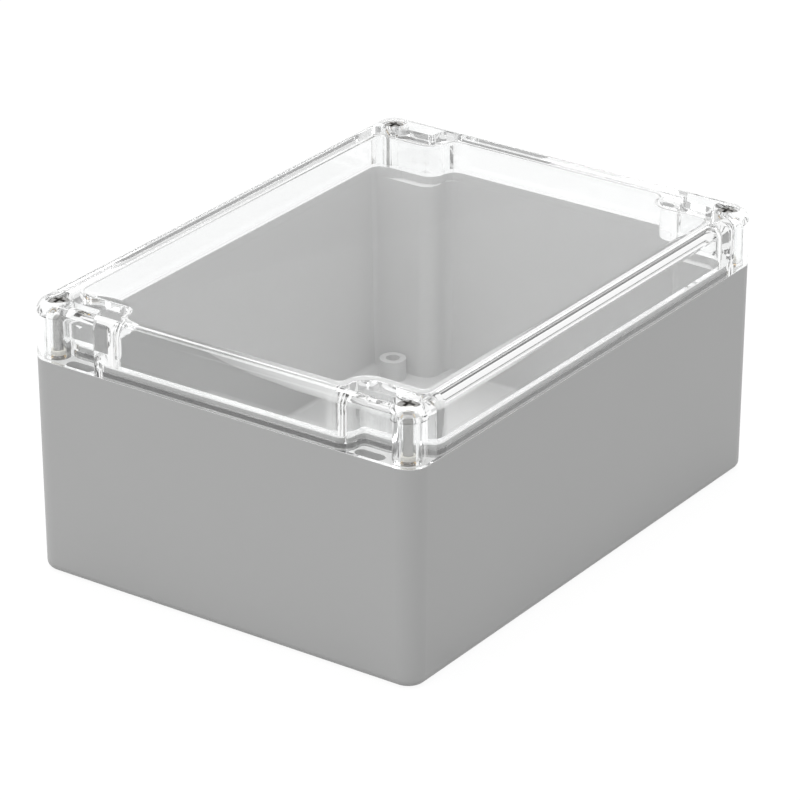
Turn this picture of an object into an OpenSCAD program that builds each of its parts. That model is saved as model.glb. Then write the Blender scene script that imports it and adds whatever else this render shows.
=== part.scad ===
// Clear-lidded wall box with a sealed joint and four captive lid screws.
// Length runs along X, width along Y, and the box stands on Z = 0.

/* [Box] */
// Length over the joint line
box_l = 200; // [180:1:240]
// Width over the joint line
box_w = 150; // [140:1:190]
// Height of the base up to the joint line
base_h = 75.6; // [60:0.1:120]
// Height of the lid above the joint line
lid_h = 19.8; // [19:0.1:26]
// Radius of the upright corners
corner_r = 7.2; // [7:0.1:9]
// Draft of the moulded sides, in degrees
draft = 0.6; // [0.3:0.1:1]
// Rounding of the base's bottom edge
foot_round = 2.8; // [1.5:0.1:3]
// Rounding of the lid's top edge
crown_round = 3.8; // [2:0.1:3.9]

/* [Walls] */
// Thickness of the base's sides at the joint line
side_t = 4.4; // [4:0.1:5]
// Thickness of the base's floor
floor_t = 3; // [2.5:0.1:4]
// Thickness of the lid's top plate
plate_t = 3.2; // [2.8:0.1:3.6]
// Thickness of the lid's walls above the tongue
lid_wall_t = 6.4; // [5:0.1:6.8]
// Rounding under the lid's top plate, along its walls
lid_fillet = 2.2; // [1:0.1:2.2]

/* [Seal] */
// Lip of the lid that hangs outside the tongue
lip_t = 2.3; // [2:0.1:2.4]
// Width of the tongue on the base
tongue_w = 1.9; // [1.6:0.1:2]
// Height of the tongue above the joint line
tongue_h = 3.7; // [3:0.1:4]
// Clearance between the tongue's crest and the lid
crest_gap = 0.65; // [0.3:0.05:1]
// Width of the gasket at the outer foot of the tongue
gasket_w = 1; // [0.8:0.1:1.1]
// Height of the pressed gasket
gasket_h = 1.7; // [1.2:0.1:2]
// Height of the seat under the gasket
seat_h = 0.5; // [0.3:0.1:0.8]
// Clearance beside the tongue and at the joint line
seal_gap = 0.15; // [0.1:0.05:0.2]
// Radius of the turns where the seal swings round a pocket
turn_r = 4; // [3:0.1:4.2]

/* [Corner pockets] */
// Reach of a pocket from the end of the box to the tongue
pocket_depth = 11; // [10.8:0.1:13]
// Length of a pocket from the long side of the box
pocket_length = 26.8; // [26:0.1:34]
// Thickness of the upright wall round a pocket in the lid
pocket_wall = 2.2; // [2:0.1:2.4]
// Reach of a post inside the base from the end of the box
post_depth = 15.8; // [15:0.1:18]
// Radius of the post's inner turn
post_turn_r = 5.5; // [4:0.1:6]

/* [Lid screws] */
// Distance of a screw from the two sides of its corner
screw_inset = 7.4; // [7.2:0.1:7.8]
// Diameter of the screw thread
thread_d = 4; // [3.5:0.1:4]
// Diameter of the screw head
head_d = 8; // [7.5:0.1:8.4]
// Height of the screw head
head_h = 2.9; // [2.6:0.1:3]
// Diameter of the recess for the head
recess_d = 9.2; // [9:0.1:9.6]
// Depth of the recess for the head
recess_depth = 3.7; // [3.4:0.1:4]
// Length of the screw thread
thread_l = 6.1; // [4:0.1:7]

/* [Mounting] */
// Width of a mounting slot
slot_w = 4.2; // [4.1:0.1:4.6]
// Length of a mounting slot from end to end
slot_l = 10.7; // [9:0.1:11]
// Distance of a slot's middle line from the end of the box
slot_inset = 4.5; // [4.4:0.1:5]
// Distance of a slot's middle from the long side of the box
slot_side = 18.8; // [18:0.1:20]
// Diameter of a board boss
boss_d = 9.4; // [8:0.1:9.6]
// Hole in a board boss
boss_hole = 5; // [3:0.1:5.4]
// Height of a board boss above the floor
boss_h = 7.5; // [5:0.1:12]
// Distance of a board boss from the end of the box
boss_inset_x = 21.2; // [21.2:0.1:40]
// Distance of a board boss from the long side of the box
boss_inset_y = 16.4; // [12:0.1:40]

/* [Hidden] */
$fn = 64;

housing_grey = [0.66, 0.67, 0.67];
clear_tint = [0.86, 0.89, 0.90, 0.35];
seal_grey = [0.30, 0.31, 0.31];
steel = [0.75, 0.75, 0.73];
brass = [0.80, 0.63, 0.30];
ring_white = [0.86, 0.85, 0.80];

// Corner signs, counted round the box from the front left
CORNERS = [[-1, -1], [1, -1], [1, 1], [-1, 1]];

// Heights
box_h = base_h + lid_h;
tongue_top = base_h + tongue_h;
lid_ledge = tongue_top + crest_gap;
gasket_foot = base_h + seat_h;
gasket_top = gasket_foot + gasket_h;
plate_under = box_h - plate_t;
recess_floor = box_h - recess_depth;
lid_foot = base_h + seal_gap;

// Middle of a screw in its corner
screw_x = box_l / 2 - screw_inset;
screw_y = box_w / 2 - screw_inset;

// Outer face of the tongue: straight along the sides, drawn in round each pocket
tongue_x = box_l / 2 - lip_t - seal_gap;
tongue_y = box_w / 2 - lip_t - seal_gap;
detour_x = box_l / 2 - pocket_depth;
detour_y = box_w / 2 - pocket_length;
wrap_r = pocket_depth - screw_inset + 3.1;

// Arcs that join the tongue's line to the circle round a screw
near_fillet_r = 4;
near_fillet = [
    detour_x - near_fillet_r,
    screw_y - sqrt(pow(wrap_r + near_fillet_r, 2) - pow(screw_x - detour_x + near_fillet_r, 2))
];
far_fillet_r = 4;
far_fillet = [
    screw_x - sqrt(pow(wrap_r + far_fillet_r, 2) - pow(screw_y - tongue_y + far_fillet_r, 2)),
    tongue_y - far_fillet_r
];

// Room inside the base, with a post in each corner.
// A stepped room is [length, width], its corner step, and the radii of the step's turn and two fillets
room_l = box_l - 2 * side_t;
room_w = box_w - 2 * side_t;
room_corner_r = 3;
room_foot_round = 1.5;
post = [box_l / 2 - post_depth, detour_y - tongue_w];
post_radii = [post_turn_r, turn_r, 2.2];

// Room inside the lid, stepped round the pockets
lid_room = [box_l - 2 * lid_wall_t, box_w - 2 * lid_wall_t];
lid_step = [screw_x - wrap_r - tongue_w - 0.3, detour_y - lid_wall_t + lip_t + seal_gap];
lid_radii = [6, 4.6, 4.6];
pocket_corner_r = corner_r - lip_t;

// Screw tube, recess cup and bore in the lid
tube_d = 8.8;
tube_bore = 5;
cup_wall = 0.6;
cup_floor_t = 1.5;

// Screw
neck_d = 3.2;
head_round = 1.2;
thread_top = base_h - 0.6;
cross_span = 4.8;
cross_w = 1.2;
cross_depth = 1.9;

// Insert pressed into the post
insert_d = 6;
insert_l = 8;
insert_top = base_h - 0.4;
insert_bore = thread_d + 0.12;
insert_groove = 0.35;
screw_pocket = 14;

// Ring on the screw's neck, inside the tube
ring_d = tube_bore - 0.1;
ring_h = 1.6;
ring_foot = base_h + 1;

// Half-section of a moulded block beside one upright corner: draft on the side, a rounded top edge
module side_section(r, h, edge) {
    edge_x = r - (h - edge) * tan(draft) - edge / cos(draft);
    polygon([
        [0, 0],
        [r, 0],
        [edge_x + edge * cos(draft), h - edge + edge * sin(draft)],
        [edge_x, h],
        [0, h]
    ]);
    intersection() {
        translate([edge_x, h - edge]) circle(edge);
        square([r, h]);
    }
}

// Full section across the block, with the side section at both ends of a flat of the given width
module cross_section(flat, r, h, edge) {
    for (side = [0, 1])
        mirror([side, 0]) translate([flat / 2 - 0.001, 0]) side_section(r + 0.001, h, edge);
    translate([-flat / 2, 0]) square([flat, h]);
}

// Moulded block that stands on Z = 0, widest there, with upright corners of radius r
module moulded_block(l, w, r, h, edge) {
    flat_x = l - 2 * r;
    flat_y = w - 2 * r;
    rotate([90, 0, 90]) linear_extrude(flat_x, center = true) cross_section(flat_y, r, h, edge);
    rotate([90, 0, 0]) linear_extrude(flat_y, center = true) cross_section(flat_x, r, h, edge);
    for (k = [0:3])
        translate([CORNERS[k][0] * flat_x / 2, CORNERS[k][1] * flat_y / 2, 0])
            rotate([0, 0, 180 + 90 * k]) rotate_extrude(angle = 90) side_section(r, h, edge);
}

// Repeats its children in the four corners
module each_corner() {
    for (flip_x = [0, 1], flip_y = [0, 1])
        mirror([flip_x, 0, 0]) mirror([0, flip_y, 0]) children();
}

// Puts its children at the middle of a lid screw
module at_screw(k) {
    translate([CORNERS[k][0] * screw_x, CORNERS[k][1] * screw_y, 0]) children();
}

// The corner area that the seal line leaves out, for a line moved outwards by o
module pocket_area(o) {
    reach = 2 * corner_r;
    turn = [detour_x + turn_r, detour_y + turn_r];
    start = [tongue_x - turn_r, detour_y - turn_r];
    translate([turn[0], detour_y + o]) square([reach, box_w / 2]);
    translate([detour_x + o, turn[1]]) square([reach, box_w / 2]);
    translate(turn) circle(turn_r - o);
    difference() {
        translate(start) square([turn_r + o, turn_r + o]);
        translate(start) circle(turn_r + o);
    }
    translate([screw_x, screw_y]) circle(wrap_r - o);
    difference() {
        polygon([near_fillet, [screw_x, near_fillet[1]], [screw_x, screw_y]]);
        translate(near_fillet) circle(near_fillet_r + o);
    }
    difference() {
        polygon([far_fillet, [screw_x, screw_y], [screw_x, box_w / 2], [far_fillet[0], box_w / 2]]);
        translate(far_fillet) circle(far_fillet_r + o);
    }
}

// The area inside the seal line, moved outwards by o
module seal_area(o = 0) {
    difference() {
        square([2 * (tongue_x + o), 2 * (tongue_y + o)], center = true);
        each_corner() pocket_area(o);
    }
}

// A rectangle stepped in at its corners: the step's inner corner, and the radii of its turn and two fillets
module stepped_area(size, step, radii) {
    turn = step + [radii[0], radii[0]];
    start = [size[0] / 2 - radii[1], step[1] - radii[1]];
    side = [step[0] - radii[2], size[1] / 2 - radii[2]];
    difference() {
        square(size + [2, 2], center = true);
        each_corner() {
            translate([turn[0], step[1]]) square(box_w);
            translate([step[0], turn[1]]) square(box_w);
            translate(turn) circle(radii[0]);
            difference() {
                translate(start) square(radii[1]);
                translate(start) circle(radii[1]);
            }
            difference() {
                translate(side) square(radii[2]);
                translate(side) circle(radii[2]);
            }
        }
    }
}

// Round rod between two points on the plane
module rod(from, to, r) {
    run = to - from;
    translate([from[0], from[1], 0]) rotate([0, 90, atan2(run[1], run[0])]) cylinder(h = norm(run), r = r);
}

// Quarter ring round the origin, from the given angle
module bend(bend_r, from_angle, r) {
    rotate([0, 0, from_angle]) rotate_extrude(angle = 90) intersection() {
        translate([bend_r, 0]) circle(r);
        translate([0, -r]) square([bend_r + r, 2 * r]);
    }
}

// Rod along the edge of a stepped area
module stepped_edge(size, step, radii, r) {
    turn = step + [radii[0], radii[0]];
    start = [size[0] / 2 - radii[1], step[1] - radii[1]];
    side = [step[0] - radii[2], size[1] / 2 - radii[2]];
    each_corner() {
        rod([-1, size[1] / 2], [side[0], size[1] / 2], r);
        translate(side) bend(radii[2], 0, r);
        rod([step[0], side[1]], [step[0], turn[1]], r);
        translate(turn) bend(radii[0], 180, r);
        rod([turn[0], step[1]], [start[0], step[1]], r);
        translate(start) bend(radii[1], 0, r);
        rod([size[0] / 2, start[1]], [size[0] / 2, -1], r);
    }
}

// The room in the lid, with its top edge rounded
module lid_hollow() {
    inner = lid_room - 2 * [lid_fillet, lid_fillet];
    inner_step = lid_step - [lid_fillet, lid_fillet];
    inner_radii = lid_radii + [lid_fillet, -lid_fillet, -lid_fillet];
    translate([0, 0, lid_ledge - 0.01]) {
        linear_extrude(plate_under - lid_fillet - lid_ledge + 0.01) intersection() {
            square(lid_room, center = true);
            stepped_area(lid_room, lid_step, lid_radii);
        }
        linear_extrude(plate_under - lid_ledge + 0.01) intersection() {
            square(inner, center = true);
            stepped_area(inner, inner_step, inner_radii);
        }
    }
    translate([0, 0, plate_under - lid_fillet]) stepped_edge(inner, inner_step, inner_radii, lid_fillet);
}

// Outline with round ends, long way along Y
module slot_area(w, l) {
    square([w, l - w], center = true);
    for (end = [-1, 1])
        translate([0, end * (l - w) / 2]) circle(w / 2);
}

// Grey lower part: floor, drafted sides, four posts, board bosses, the tongue and the gasket's seat
module base() {
    color(housing_grey) {
        difference() {
            translate([0, 0, base_h]) mirror([0, 0, 1])
                moulded_block(box_l, box_w, corner_r, base_h, foot_round);
            intersection() {
                translate([0, 0, base_h]) mirror([0, 0, 1])
                    moulded_block(room_l, room_w, room_corner_r, base_h - floor_t, room_foot_round);
                linear_extrude(box_h) stepped_area([room_l, room_w], post, post_radii);
            }
            each_corner() {
                translate([box_l / 2 - slot_inset, box_w / 2 - slot_side, -1])
                    linear_extrude(box_h) slot_area(slot_w, slot_l);
                translate([screw_x, screw_y, base_h - screw_pocket])
                    cylinder(h = screw_pocket + 1, d = insert_d);
            }
        }
        translate([0, 0, base_h - 0.01]) linear_extrude(tongue_h + 0.01) difference() {
            seal_area(0);
            seal_area(-tongue_w);
        }
        translate([0, 0, base_h - 0.01]) linear_extrude(seat_h + 0.01) difference() {
            seal_area(gasket_w);
            seal_area(-0.5);
        }
        each_corner() translate([box_l / 2 - boss_inset_x, box_w / 2 - boss_inset_y, floor_t - 0.01])
            difference() {
                cylinder(h = boss_h + 0.01, d = boss_d);
                translate([0, 0, 1]) cylinder(h = boss_h, d = boss_hole);
            }
    }
}

// Clear cover: top plate, drafted skirt, upright walls round the pockets and the screw tubes
module lid() {
    color(clear_tint) difference() {
        union() {
            difference() {
                translate([0, 0, lid_foot])
                    moulded_block(box_l, box_w, corner_r, box_h - lid_foot, crown_round);
                translate([0, 0, base_h]) linear_extrude(gasket_top - base_h)
                    seal_area(gasket_w + seal_gap);
                translate([0, 0, base_h]) linear_extrude(lid_ledge - base_h)
                    seal_area(seal_gap);
                lid_hollow();
                translate([0, 0, base_h]) linear_extrude(plate_under - base_h)
                    pocket_hollow();
            }
            for (k = [0:3]) at_screw(k) screw_tube();
        }
        for (k = [0:3]) at_screw(k) {
            translate([0, 0, base_h]) cylinder(h = lid_h, d = tube_bore);
            translate([0, 0, recess_floor]) cylinder(h = lid_h, d = recess_d);
        }
    }
}

// The open part of the pockets in the lid, outside the sealed wall
module pocket_hollow() {
    side = 2 * (lip_t + pocket_corner_r);
    difference() {
        union() {
            square([box_l - 2 * lip_t, box_w - side], center = true);
            square([box_l - side, box_w - 2 * lip_t], center = true);
            each_corner() translate([box_l / 2 - lip_t - pocket_corner_r, box_w / 2 - lip_t - pocket_corner_r])
                circle(pocket_corner_r);
        }
        seal_area(seal_gap + pocket_wall);
    }
}

// Tube that guides a lid screw, with the cup that its head sits in
module screw_tube() {
    translate([0, 0, lid_foot]) cylinder(h = plate_under - lid_foot + 1, d = tube_d);
    translate([0, 0, recess_floor - cup_floor_t])
        cylinder(h = plate_under - recess_floor + cup_floor_t + 1, d = recess_d + 2 * cup_wall);
}

// Soft cord on its seat round the foot of the tongue, under the rim of the lid
module gasket() {
    color(seal_grey) translate([0, 0, gasket_foot]) linear_extrude(gasket_h - 0.05) difference() {
        seal_area(gasket_w);
        seal_area(0);
    }
}

// Captive lid screw: round head with a cross recess, thin neck and a short thread
module lid_screw(k) {
    color(steel) at_screw(k) translate([0, 0, recess_floor]) difference() {
        rotate_extrude() screw_section();
        translate([0, 0, head_h - cross_depth]) linear_extrude(head_h) {
            square([cross_span, cross_w], center = true);
            square([cross_w, cross_span], center = true);
        }
    }
}

// Half-section of a screw, with its head standing on Z = 0
module screw_section() {
    thread_start = thread_top - recess_floor;
    polygon([
        [0, thread_start - thread_l],
        [thread_d / 2 - 0.6, thread_start - thread_l],
        [thread_d / 2, thread_start - thread_l + 0.6],
        [thread_d / 2, thread_start],
        [neck_d / 2, thread_start],
        [neck_d / 2, 0],
        [head_d / 2, 0],
        [head_d / 2, head_h - head_round],
        [head_d / 2 - head_round, head_h],
        [0, head_h]
    ]);
    intersection() {
        translate([head_d / 2 - head_round, head_h - head_round]) circle(head_round);
        square([head_d, head_h]);
    }
}

// Ring that grips a screw's neck and keeps the screw in the lid
module retaining_ring(k) {
    color(ring_white) at_screw(k) translate([0, 0, ring_foot]) difference() {
        cylinder(h = ring_h, d = ring_d);
        translate([0, 0, -1]) cylinder(h = ring_h + 2, d = neck_d + 0.04);
    }
}

// Brass insert pressed into a post, with two grip grooves
module threaded_insert(k) {
    color(brass) at_screw(k) translate([0, 0, insert_top - insert_l]) rotate_extrude()
        difference() {
            translate([insert_bore / 2, 0]) square([(insert_d - insert_bore) / 2, insert_l]);
            for (turn = [1, 2])
                translate([insert_d / 2 - insert_groove, turn * insert_l / 3 - 0.4])
                    square([1, 0.8]);
        }
}

base();
lid();
gasket();
for (k = [0:3]) {
    lid_screw(k);
    retaining_ring(k);
    threaded_insert(k);
}
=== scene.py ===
"""Electronics enclosure with a clear lift-off lid: finishes, fittings, studio and camera."""

import logging
import math
from collections.abc import Callable
from dataclasses import dataclass
from enum import Enum
from typing import Any

import bmesh
import bpy
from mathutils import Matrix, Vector


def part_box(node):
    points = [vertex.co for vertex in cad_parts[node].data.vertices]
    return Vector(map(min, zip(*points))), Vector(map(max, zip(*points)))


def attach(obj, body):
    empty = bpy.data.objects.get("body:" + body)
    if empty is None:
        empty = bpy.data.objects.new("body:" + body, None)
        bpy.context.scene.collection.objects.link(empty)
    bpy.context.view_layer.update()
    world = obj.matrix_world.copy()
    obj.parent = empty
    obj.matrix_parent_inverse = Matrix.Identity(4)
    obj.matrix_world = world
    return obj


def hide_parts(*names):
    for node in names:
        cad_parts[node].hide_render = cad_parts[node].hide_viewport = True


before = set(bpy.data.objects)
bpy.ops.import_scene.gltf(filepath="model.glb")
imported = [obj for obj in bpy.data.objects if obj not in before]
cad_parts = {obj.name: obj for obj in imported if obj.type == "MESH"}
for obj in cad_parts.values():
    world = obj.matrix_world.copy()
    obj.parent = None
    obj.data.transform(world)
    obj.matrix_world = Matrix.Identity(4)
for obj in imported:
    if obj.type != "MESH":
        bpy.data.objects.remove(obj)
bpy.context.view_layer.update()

MM = 0.001
WHITE = (1.0, 1.0, 1.0, 1.0)
LOG = logging.getLogger("enclosure")

Colour = tuple[float, float, float]
Row = tuple[float, Callable[[float], float]]
Ring = list[bmesh.types.BMVert]


class Slot(Enum):
    """Names for the material slots of the fittings; each fitting keeps one, but nothing here reads it."""

    STEEL = "steel"
    RING = "ring"
    BRASS = "brass"


class Signal:
    """A shader socket's value that takes part in Python arithmetic."""

    def __init__(self, shader: "Shader", socket: bpy.types.NodeSocket) -> None:
        """Wraps a socket of the given shader."""
        self.shader = shader
        self.socket = socket

    def _math(self, operation: str, left: "Signal | float", right: "Signal | float") -> "Signal":
        """Adds one Math node.

        Args:
            operation: The Math node's operation.
            left: The first operand.
            right: The second operand.

        Returns:
            The node's result.
        """
        return self.shader.add("ShaderNodeMath", {"operation": operation}, {0: left, 1: right}, 0)

    def __add__(self, other: "Signal | float") -> "Signal":
        """self + other."""
        return self._math("ADD", self, other)

    __radd__ = __add__

    def __sub__(self, other: "Signal | float") -> "Signal":
        """self - other."""
        return self._math("SUBTRACT", self, other)

    def __rsub__(self, other: "Signal | float") -> "Signal":
        """other - self."""
        return self._math("SUBTRACT", other, self)

    def __mul__(self, other: "Signal | float") -> "Signal":
        """self * other."""
        return self._math("MULTIPLY", self, other)

    __rmul__ = __mul__


class Shader:
    """One procedural material or world, built node by node."""

    def __init__(self, owner: Any, output: str) -> None:
        """Clears the owner's node tree and adds its output node.

        Args:
            owner: A material or a world.
            output: The type of its output node.
        """
        owner.use_nodes = True
        self.owner = owner
        self.tree = owner.node_tree
        self.tree.nodes.clear()
        self.output = self.tree.nodes.new(output)

    def add(
        self,
        kind: str,
        settings: dict[str, Any] | None = None,
        inputs: dict[int | str, Any] | None = None,
        result: int | str = 0,
    ) -> Signal:
        """Adds one node.

        Args:
            kind: The node's type.
            settings: Properties to set first; "stops" holds a ramp's (position, grey) pairs.
            inputs: Values or signals for its sockets.
            result: The output socket to hand back.

        Returns:
            The chosen output.
        """
        node = self.tree.nodes.new(kind)
        for name, value in (settings or {}).items():
            if name == "stops":
                self._set_stops(node.color_ramp, value)
            else:
                setattr(node, name, value)
        for key, value in (inputs or {}).items():
            if isinstance(value, Signal):
                self.tree.links.new(value.socket, node.inputs[key])
            else:
                node.inputs[key].default_value = value
        return Signal(self, node.outputs[result])

    @staticmethod
    def _set_stops(ramp: bpy.types.ColorRamp, stops: list[tuple[float, float]]) -> None:
        """Sets a ramp's stops from (position, grey) pairs."""
        while len(ramp.elements) > len(stops):
            ramp.elements.remove(ramp.elements[-1])
        while len(ramp.elements) < len(stops):
            ramp.elements.new(1.0)
        for element, (position, grey) in zip(ramp.elements, stops):
            element.position = position
            element.color = (grey, grey, grey, 1.0)

    def place(self) -> Signal:
        """Object coordinates, which are the row frame in metres."""
        return self.add("ShaderNodeTexCoord", result="Object")

    def noise(self, size: float, detail: float = 2.0) -> Signal:
        """Smooth noise.

        Args:
            size: The rough size of one patch, in metres.
            detail: The number of finer layers.

        Returns:
            Values round 0.5.
        """
        inputs = {"Vector": self.place(), "Scale": 1.0 / size, "Detail": detail, "Roughness": 0.55}
        return self.add("ShaderNodeTexNoise", {"noise_dimensions": "3D"}, inputs, 0)

    def tint(self, amount: Signal, low: Colour, high: Colour) -> Signal:
        """Blends two colours.

        Args:
            amount: 0 for low, 1 for high.
            low: The first colour, linear.
            high: The second colour, linear.

        Returns:
            The blended colour.
        """
        inputs = {0: amount, 6: (*low, 1.0), 7: (*high, 1.0)}
        return self.add("ShaderNodeMix", {"data_type": "RGBA"}, inputs, 2)

    def bump(self, height: Signal, distance: float, strength: float) -> Signal:
        """A normal from a height.

        Args:
            height: The height, 0 to 1.
            distance: What a height of 1 stands for, in metres.
            strength: How much of it shows.

        Returns:
            The normal.
        """
        inputs = {"Height": height, "Distance": distance, "Strength": strength}
        return self.add("ShaderNodeBump", None, inputs, 0)

    def finish(self, surface: Signal) -> None:
        """Links the surface to the output node."""
        self.tree.links.new(surface.socket, self.output.inputs["Surface"])


def new_shader(name: str) -> Shader:
    """A shader for a new material of that name."""
    return Shader(bpy.data.materials.new(name), "ShaderNodeOutputMaterial")


@dataclass(frozen=True)
class MouldedHousing:
    """Grey moulded plastic with a fine eroded grain."""

    grey: Colour = (0.50, 0.502, 0.500)
    shift: float = 0.012
    patch: float = 40 * MM
    grain: float = 0.35 * MM
    patch_share: float = 0.6
    roughness: tuple[float, float] = (0.40, 0.12)
    relief: tuple[float, float] = (0.03 * MM, 0.25)
    specular: float = 0.42

    def material(self) -> bpy.types.Material:
        """Builds the material."""
        shader = new_shader("housing_grey")
        patches = shader.noise(self.patch)
        speckle = shader.noise(self.grain, 3.0)
        low = tuple(c - self.shift for c in self.grey)
        high = tuple(c + self.shift for c in self.grey)
        smoothest, spread = self.roughness
        amount = patches * self.patch_share + speckle * (1.0 - self.patch_share)
        inputs = {
            "Base Color": shader.tint(amount, low, high),
            "Roughness": speckle * spread + smoothest,
            "Specular IOR Level": self.specular,
            "Normal": shader.bump(speckle, *self.relief),
        }
        shader.finish(shader.add("ShaderNodeBsdfPrincipled", None, inputs))
        return shader.owner


@dataclass(frozen=True)
class ClearPolycarbonate:
    """Clear polished plastic that bends light and lets the lamps through."""

    tint: Colour = (0.99, 0.995, 0.995)
    shade: Colour = (0.98, 0.98, 0.98)
    ior: float = 1.585
    wave: float = 30 * MM
    roughness: float = 0.01
    relief: tuple[float, float] = (0.01 * MM, 0.1)
    mirror_turns: float = 2.5
    turns: float = 8.5

    def material(self) -> bpy.types.Material:
        """Builds the material; a ray that has turned too often inside goes straight on."""
        shader = new_shader("clear_lid")
        waves = shader.noise(self.wave, 1.0)
        inputs = {
            "Base Color": (*self.tint, 1.0),
            "Roughness": waves * self.roughness,
            "IOR": self.ior,
            "Transmission Weight": 1.0,
            "Normal": shader.bump(waves, *self.relief),
        }
        body = shader.add("ShaderNodeBsdfPrincipled", None, inputs)
        open_way = shader.add("ShaderNodeBsdfTransparent", None, {"Color": (*self.shade, 1.0)})
        path = shader.add("ShaderNodeLightPath", None, None, "Is Shadow Ray")
        soft = Signal(shader, path.socket.node.outputs["Is Diffuse Ray"])
        passing = shader.add("ShaderNodeMath", {"operation": "MAXIMUM"}, {0: path, 1: soft})
        for output, limit in (("Glossy Depth", self.mirror_turns), ("Ray Depth", self.turns)):
            depth = Signal(shader, path.socket.node.outputs[output])
            trapped = shader.add("ShaderNodeMath", {"operation": "GREATER_THAN"}, {0: depth, 1: limit})
            passing = shader.add("ShaderNodeMath", {"operation": "MAXIMUM"}, {0: passing, 1: trapped})
        shader.finish(shader.add("ShaderNodeMixShader", None, {0: passing, 1: body, 2: open_way}))
        return shader.owner


@dataclass(frozen=True)
class GrainedFinish:
    """A finish whose colour, gloss and relief follow one fine grain.

    The roughness is its lowest value and its spread, and the relief its depth and strength.
    """

    name: str
    colour: Colour
    dark_share: float
    grain: float
    detail: float
    roughness: tuple[float, float]
    relief: tuple[float, float]
    metallic: float = 0.0

    def material(self) -> bpy.types.Material:
        """Builds the material."""
        shader = new_shader(self.name)
        grain = shader.noise(self.grain, self.detail)
        low = tuple(c * self.dark_share for c in self.colour)
        smoothest, spread = self.roughness
        inputs = {
            "Base Color": shader.tint(grain, low, self.colour),
            "Metallic": self.metallic,
            "Roughness": grain * spread + smoothest,
            "Normal": shader.bump(grain, *self.relief),
        }
        shader.finish(shader.add("ShaderNodeBsdfPrincipled", None, inputs))
        return shader.owner


@dataclass(frozen=True)
class PaintedShadeSeal(GrainedFinish):
    """Matt silicone seal, coloured dark grey as painted shade for the shadow gap at the tongue's foot."""

    name: str = "seal_grey"
    # Dark grey is painted shade: it stands in for the shadow in the gap at the tongue's foot.
    colour: Colour = (0.12, 0.12, 0.12)
    dark_share: float = 0.85
    grain: float = 0.6 * MM
    detail: float = 3.0
    roughness: tuple[float, float] = (0.55, 0.2)
    relief: tuple[float, float] = (0.02 * MM, 0.3)


@dataclass(frozen=True)
class StainlessSteel(GrainedFinish):
    """Stainless steel, a little dull."""

    name: str = "screw_steel"
    colour: Colour = (0.36, 0.355, 0.345)
    dark_share: float = 0.88
    grain: float = 0.5 * MM
    detail: float = 4.0
    roughness: tuple[float, float] = (0.16, 0.16)
    relief: tuple[float, float] = (0.01 * MM, 0.2)
    metallic: float = 1.0


@dataclass(frozen=True)
class NaturalNylon(GrainedFinish):
    """Natural nylon, a little yellow."""

    name: str = "ring_nylon"
    colour: Colour = (0.72, 0.70, 0.64)
    dark_share: float = 0.93
    grain: float = 0.8 * MM
    detail: float = 3.0
    roughness: tuple[float, float] = (0.5, 0.25)
    relief: tuple[float, float] = (0.02 * MM, 0.3)


@dataclass(frozen=True)
class TurnedBrass(GrainedFinish):
    """Turned brass."""

    name: str = "insert_brass"
    colour: Colour = (0.72, 0.50, 0.22)
    dark_share: float = 0.8
    grain: float = 0.4 * MM
    detail: float = 4.0
    roughness: tuple[float, float] = (0.22, 0.2)
    relief: tuple[float, float] = (0.01 * MM, 0.25)
    metallic: float = 1.0


def dress(node: str, material: bpy.types.Material) -> None:
    """Gives a CAD node its finish.

    Args:
        node: The node's name.
        material: The finish.
    """
    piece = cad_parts[node]
    if not piece.material_slots:
        piece.data.materials.append(material)
    for place in piece.material_slots:
        place.link = "OBJECT"
        place.material = material
    LOG.info("dressed %s", node)


def even(radius: float) -> Callable[[float], float]:
    """The same radius at every angle."""
    return lambda angle: radius


@dataclass(frozen=True)
class Thread:
    """Right-hand thread of M4 form; its flats are shares of half a pitch."""

    crest: float
    root: float
    pitch: float = 0.7 * MM
    rows_per_turn: int = 8
    crest_flat: float = 0.15
    flank: float = 0.65

    def radius(self, height: float) -> Callable[[float], float]:
        """The radius round the axis at a height.

        Args:
            height: The height, in metres.

        Returns:
            The radius as a function of the angle.
        """

        def at(angle: float) -> float:
            """Flat crest, straight flanks and flat root."""
            place = (height / self.pitch - angle / math.tau) % 1.0
            off_crest = abs(place - 0.5) * 2.0
            drop = min(max((off_crest - self.crest_flat) / self.flank, 0.0), 1.0)
            return self.crest + (self.root - self.crest) * drop

        return at

    def rows(self, low: float, high: float) -> list[Row]:
        """Rows of the threaded stretch, from low to high."""
        count = round((high - low) / self.pitch * self.rows_per_turn)
        heights = [low + (high - low) * i / count for i in range(count + 1)]
        return [(height, self.radius(height)) for height in heights]


def close(shell: bmesh.types.BMesh, name: str) -> bpy.types.Mesh:
    """Turns a finished shell into a mesh with its faces outwards.

    Args:
        shell: The shell, freed here.
        name: The mesh's name.

    Returns:
        The mesh.
    """
    bmesh.ops.recalc_face_normals(shell, faces=shell.faces)
    mesh = bpy.data.meshes.new(name)
    shell.to_mesh(mesh)
    shell.free()
    return mesh


def join_rings(shell: bmesh.types.BMesh, low: Ring, high: Ring) -> None:
    """Joins two rings of as many points by a band of faces."""
    count = len(low)
    for i in range(count):
        j = (i + 1) % count
        shell.faces.new((low[i], low[j], high[j], high[i]))


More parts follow.
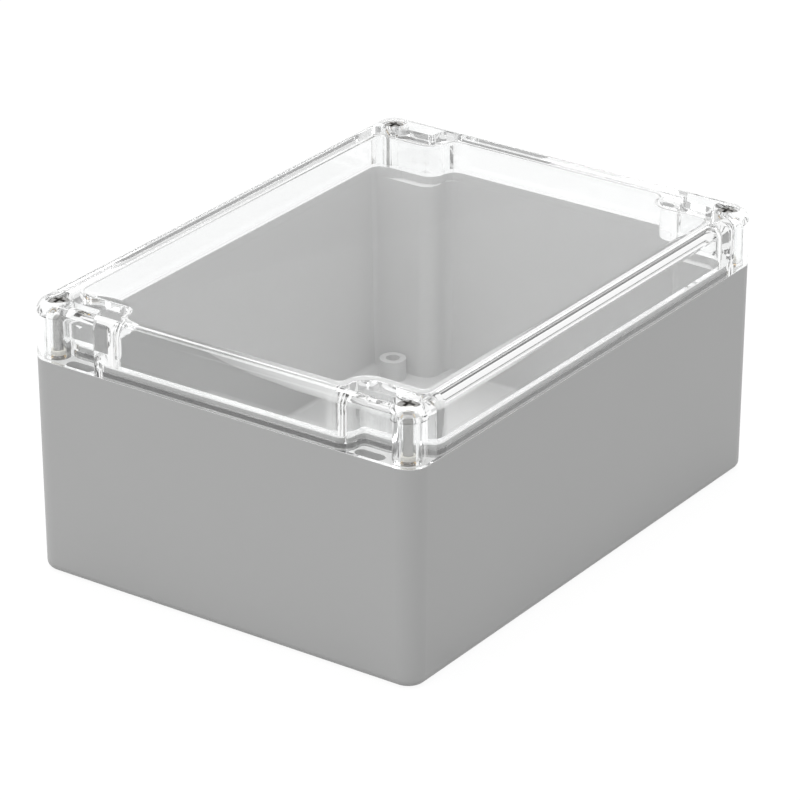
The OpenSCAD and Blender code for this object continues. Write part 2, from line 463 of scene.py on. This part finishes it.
def turned(name: str, rows: list[Row], columns: int, sleeve: bool) -> bpy.types.Mesh:
    """A turned solid about Z.

    Args:
        name: The mesh's name.
        rows: Height and radius of each row, from the bottom up; a sleeve's go up outside and down inside.
        columns: Steps round the axis.
        sleeve: True when the last row joins the first, false when both ends are closed.

    Returns:
        The mesh.
    """
    shell = bmesh.new()
    angles = [math.tau * step / columns for step in range(columns)]
    rings = []
    for height, radius in rows:
        ring = []
        for angle in angles:
            reach = radius(angle)
            ring.append(shell.verts.new((reach * math.cos(angle), reach * math.sin(angle), height)))
        rings.append(ring)
    if sleeve:
        rings.append(rings[0])
    else:
        shell.faces.new(rings[0])
        shell.faces.new(rings[-1])
    for low, high in zip(rings, rings[1:]):
        join_rings(shell, low, high)
    return close(shell, name)


def smooth(mesh: bpy.types.Mesh, angle: float) -> None:
    """Shades the mesh smooth, apart from edges sharper than the angle in degrees."""
    mesh.shade_smooth()
    mesh.set_sharp_from_angle(angle=math.radians(angle))


@dataclass(frozen=True)
class Fitting:
    """A small piece that the box has one of in each corner; {} in the body stands for the corner's number."""

    node: str
    name: str
    body: str
    slot: Slot

    def size(self) -> tuple[float, float]:
        """Height and outer radius of the CAD node."""
        low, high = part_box(f"{self.node}_1")
        return high.z - low.z, (high.x - low.x) / 2

    def place(self, mesh: bpy.types.Mesh, material: bpy.types.Material) -> None:
        """Puts the finished piece in the place of each corner's CAD node.

        Args:
            mesh: Its mesh, standing on the origin.
            material: Its finish.
        """
        mesh.materials.append(material)
        for k in range(1, 5):
            node = f"{self.node}_{k}"
            low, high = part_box(node)
            piece = bpy.data.objects.new(f"{self.name}_{k}", mesh)
            bpy.context.scene.collection.objects.link(piece)
            piece.location = ((low.x + high.x) / 2, (low.y + high.y) / 2, low.z)
            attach(piece, self.body.format(k))
            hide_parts(node)
            LOG.info("built %s", piece.name)


@dataclass
class LidScrews:
    """Four captive pan-head screws with a cross recess, a thin neck and a rolled thread."""

    head_h: float = 2.9 * MM
    crown_h: float = 1.5 * MM
    crown_flat: float = 1.5 * MM
    crown_steps: int = 8
    neck_r: float = 1.6 * MM
    thread_r: float = 2.0 * MM
    thread_root: float = 1.62 * MM
    thread_l: float = 6.1 * MM
    point: float = 0.45 * MM
    edge: float = 0.15 * MM
    cross_reach: tuple[float, float] = (2.4 * MM, 1.15 * MM)
    cross_half_w: tuple[float, float] = (0.6 * MM, 0.36 * MM)
    cross_depth: float = 1.9 * MM
    punch_rise: float = 0.2
    columns: int = 48

    def build(self, material: bpy.types.Material) -> None:
        """Builds the four screws."""
        fitting = Fitting("lid_screw", "screw", "screw_{}", Slot.STEEL)
        length, head_r = fitting.size()
        mesh = self._strike(self._blank(length, head_r), self._punch(length))
        smooth(mesh, 35.0)
        fitting.place(mesh, material)

    def _blank(self, length: float, head_r: float) -> bpy.types.Mesh:
        """The screw before its recess is struck.

        Args:
            length: Its whole length.
            head_r: Radius of its head.

        Returns:
            The mesh, standing on its tip.
        """
        seat = length - self.head_h
        thread = Thread(self.thread_r, self.thread_root)
        rows = [(0.0, even(self.thread_root - self.point)), (self.point, even(self.thread_root))]
        rows += thread.rows(self.point + self.edge, self.thread_l - self.edge)
        rows += [(self.thread_l, even(self.neck_r)), (seat - self.edge, even(self.neck_r))]
        rows += [(seat, even(self.neck_r + self.edge)), (seat, even(head_r - self.edge))]
        rows.append((seat + self.edge, even(head_r)))
        for step in range(self.crown_steps + 1):
            turn = math.radians(90 * step / self.crown_steps)
            reach = self.crown_flat + (head_r - self.crown_flat) * math.cos(turn)
            rows.append((length - self.crown_h * (1 - math.sin(turn)), even(reach)))
        return turned("screw_blank", rows, self.columns, False)

    def _punch(self, length: float) -> bpy.types.Mesh:
        """The tapered cross that strikes the recess of a screw of that length."""
        punch = bmesh.new()
        rings = []
        for share in (1.0 + self.punch_rise, 0.0):
            reach = self.cross_reach[1] + (self.cross_reach[0] - self.cross_reach[1]) * share
            half = self.cross_half_w[1] + (self.cross_half_w[0] - self.cross_half_w[1]) * share
            height = length - self.cross_depth * (1 - share)
            ring = []
            for turn in range(4):
                c, s = round(math.cos(turn * math.pi / 2)), round(math.sin(turn * math.pi / 2))
                for x, y in ((reach, -half), (reach, half), (half, half)):
                    ring.append(punch.verts.new((c * x - s * y, s * x + c * y, height)))
            rings.append(ring)
        top, foot = rings
        punch.faces.new(top)
        punch.faces.new(foot)
        join_rings(punch, top, foot)
        return close(punch, "cross_punch")

    @staticmethod
    def _strike(blank: bpy.types.Mesh, punch: bpy.types.Mesh) -> bpy.types.Mesh:
        """Cuts the punch out of the blank.

        Args:
            blank: The screw without its recess.
            punch: The recess as a solid.

        Returns:
            The finished mesh.
        """
        tool = bpy.data.objects.new("cross_punch", punch)
        work = bpy.data.objects.new("screw_blank", blank)
        for item in (tool, work):
            bpy.context.scene.collection.objects.link(item)
        cut = work.modifiers.new("cross", "BOOLEAN")
        cut.operation = "DIFFERENCE"
        cut.solver = "EXACT"
        cut.object = tool
        bpy.context.view_layer.update()
        struck = work.evaluated_get(bpy.context.evaluated_depsgraph_get())
        mesh = bpy.data.meshes.new_from_object(struck)
        mesh.name = "lid_screw"
        for item in (tool, work):
            bpy.data.objects.remove(item, do_unlink=True)
        return mesh


@dataclass
class RetainingRings:
    """Four nylon rings on the screws' necks, with rounded edges."""

    bore_r: float = 1.62 * MM
    edge: float = 0.2 * MM
    edge_steps: int = 3
    columns: int = 48

    def build(self, material: bpy.types.Material) -> None:
        """Builds the four rings."""
        fitting = Fitting("retaining_ring", "ring", "ring_{}", Slot.RING)
        mesh = self._ring(*fitting.size())
        smooth(mesh, 60.0)
        fitting.place(mesh, material)

    def _ring(self, height: float, outer: float) -> bpy.types.Mesh:
        """One ring, standing on its lower face.

        Args:
            height: Its height.
            outer: Its outer radius.

        Returns:
            The mesh.
        """
        corners = [(outer, 0.0, -90), (outer, height, 0), (self.bore_r, height, 90), (self.bore_r, 0.0, 180)]
        rows = []
        for radius, level, start in corners:
            inward = -1 if radius == outer else 1
            upward = 1 if level == 0.0 else -1
            for step in range(self.edge_steps + 1):
                turn = math.radians(start + 90 * step / self.edge_steps)
                reach = radius + inward * self.edge + self.edge * math.cos(turn)
                rows.append((level + upward * self.edge + self.edge * math.sin(turn), even(reach)))
        return turned("retaining_ring", rows, self.columns, True)


@dataclass
class ThreadedInserts:
    """Four brass press-in inserts with knurled bands, grooves and a threaded bore."""

    bore_r: float = 2.06 * MM
    bore_root: float = 2.36 * MM
    edge: float = 0.25 * MM
    groove_depth: float = 0.4 * MM
    groove_half_w: float = 0.4 * MM
    groove_side: float = 0.1 * MM
    knurl_depth: float = 0.16 * MM
    columns: int = 64

    def build(self, material: bpy.types.Material) -> None:
        """Builds the four inserts."""
        fitting = Fitting("threaded_insert", "insert", "base", Slot.BRASS)
        mesh = self._insert(*fitting.size())
        smooth(mesh, 30.0)
        fitting.place(mesh, material)

    def _knurled(self, outer: float) -> Callable[[float], float]:
        """The radius of a knurled band, one tooth every other column."""

        def at(angle: float) -> float:
            """Tooth or gap."""
            return outer - self.knurl_depth * (round(angle * self.columns / math.tau) % 2)

        return at

    def _insert(self, height: float, outer: float) -> bpy.types.Mesh:
        """One insert, standing on its lower end.

        Args:
            height: Its height.
            outer: Its outer radius.

        Returns:
            The mesh.
        """
        neck = even(outer - self.groove_depth)
        band = self._knurled(outer)
        rows = [(0.0, even(outer - self.edge)), (self.edge, band)]
        for third in (1, 2):
            low = height * third / 3 - self.groove_half_w
            high = height * third / 3 + self.groove_half_w
            rows += [(low, band), (low + self.groove_side, neck)]
            rows += [(high - self.groove_side, neck), (high, band)]
        collar = height - 2 * self.edge
        rows += [(collar, band), (collar + 0.2 * self.edge, even(outer)), (height - self.edge, even(outer))]
        rows += [(height, even(outer - self.edge)), (height, even(self.bore_root))]
        rows += reversed(Thread(self.bore_root, self.bore_r).rows(self.edge, height - self.edge))
        rows.append((0.0, even(self.bore_root)))
        return turned("threaded_insert", rows, self.columns, True)


@dataclass
class Studio:
    """White floor, even white surroundings, soft lamps and the camera; angles are in degrees."""

    floor_size: float = 12.0
    floor_grey: float = 0.4
    floor_glow: float = 1.16
    glow_share: float = 0.8
    ambient: float = 0.66
    key_place: tuple[float, float, float] = (-2.4, 0.9, 1.7)
    key_size: float = 1.6
    key_power: float = 10.0
    top_place: tuple[float, float, float] = (0.2, 0.3, 2.4)
    top_size: float = 2.2
    top_power: float = 64.0
    azimuth: float = -55.008
    elevation: float = 24.834
    distance: float = 1.4661
    aim: tuple[float, float, float] = (0.0, 0.0, 0.0477)
    lens: float = 200.3
    shift: tuple[float, float] = (-0.0010, -0.0194)

    def build(self) -> None:
        """Adds everything that isn't part of the object."""
        self._floor()
        self._world()
        self._lamp("key_lamp", self.key_place, self.key_size, self.key_power)
        self._lamp("top_lamp", self.top_place, self.top_size, self.top_power)
        self._camera()
        LOG.info("studio ready")

    @staticmethod
    def _seen(shader: Shader) -> Signal:
        """1 for rays that show the backdrop: straight, mirrored or through the clear lid."""
        path = shader.add("ShaderNodeLightPath", None, None, "Is Camera Ray")
        node = path.socket.node
        glossy = Signal(shader, node.outputs["Is Glossy Ray"])
        through = Signal(shader, node.outputs["Is Transmission Ray"])
        any_ray = path + glossy + through
        return shader.add("ShaderNodeMath", {"operation": "MINIMUM"}, {0: any_ray, 1: 1.0})

    def _floor(self) -> None:
        """A pale floor that shows white and keeps the object's shadow."""
        mesh = bpy.data.meshes.new("floor")
        half = self.floor_size / 2
        corners = [(-half, -half, 0), (half, -half, 0), (half, half, 0), (-half, half, 0)]
        mesh.from_pydata(corners, [], [(0, 1, 2, 3)])
        floor = bpy.data.objects.new("floor", mesh)
        bpy.context.scene.collection.objects.link(floor)
        shader = new_shader("floor_white")
        matt = shader.add("ShaderNodeBsdfDiffuse", None, {"Color": (*[self.floor_grey] * 3, 1.0)})
        glow = shader.add("ShaderNodeEmission", None, {"Color": WHITE, "Strength": self.floor_glow})
        share = self._seen(shader) * self.glow_share
        shader.finish(shader.add("ShaderNodeMixShader", None, {0: share, 1: matt, 2: glow}))
        mesh.materials.append(shader.owner)

    def _world(self) -> None:
        """Even white surroundings, dimmer as a light than as a backdrop."""
        world = bpy.data.worlds.new("surroundings")
        bpy.context.scene.world = world
        shader = Shader(world, "ShaderNodeOutputWorld")
        strength = self._seen(shader) * (1.0 - self.ambient) + self.ambient
        inputs = {"Color": WHITE, "Strength": strength}
        shader.finish(shader.add("ShaderNodeBackground", None, inputs))

    @staticmethod
    def _lamp(name: str, place: tuple[float, float, float], size: float, power: float) -> None:
        """Adds a soft square lamp that faces the object.

        Args:
            name: Its name.
            place: Its middle, in metres.
            size: The length of its side, in metres.
            power: Its power, in watts.
        """
        lamp = bpy.data.lights.new(name, "AREA")
        lamp.size = size
        lamp.energy = power
        holder = bpy.data.objects.new(name, lamp)
        holder.location = place
        holder.rotation_euler = (-Vector(place)).to_track_quat("-Z", "Y").to_euler()
        bpy.context.scene.collection.objects.link(holder)

    def _camera(self) -> None:
        """Adds the camera, on the side of the near corner and a little above."""
        azimuth, elevation = math.radians(self.azimuth), math.radians(self.elevation)
        level = math.cos(elevation)
        back = Vector((math.sin(azimuth) * level, -math.cos(azimuth) * level, math.sin(elevation)))
        lens = bpy.data.cameras.new("camera")
        lens.lens = self.lens
        lens.shift_x, lens.shift_y = self.shift
        camera = bpy.data.objects.new("camera", lens)
        camera.location = Vector(self.aim) + back * self.distance
        camera.rotation_euler = (-back).to_track_quat("-Z", "Y").to_euler()
        scene = bpy.context.scene
        scene.collection.objects.link(camera)
        scene.camera = camera
        scene.view_settings.view_transform = "Standard"


@dataclass
class Enclosure:
    """The whole object: the moulded parts and the small fittings."""

    def build(self) -> None:
        """Dresses the moulded parts, then builds the fittings."""
        dress("base", MouldedHousing().material())
        dress("lid", ClearPolycarbonate().material())
        # The gasket's dark grey finish is painted shade for the shadow gap at the tongue's foot.
        dress("gasket", PaintedShadeSeal().material())
        LidScrews().build(StainlessSteel().material())
        RetainingRings().build(NaturalNylon().material())
        ThreadedInserts().build(TurnedBrass().material())


def main() -> None:
    """Builds the object and its studio."""
    logging.basicConfig(level=logging.INFO, format="%(name)s: %(message)s")
    Enclosure().build()
    Studio().build()


if __name__ == "__main__":
    main()
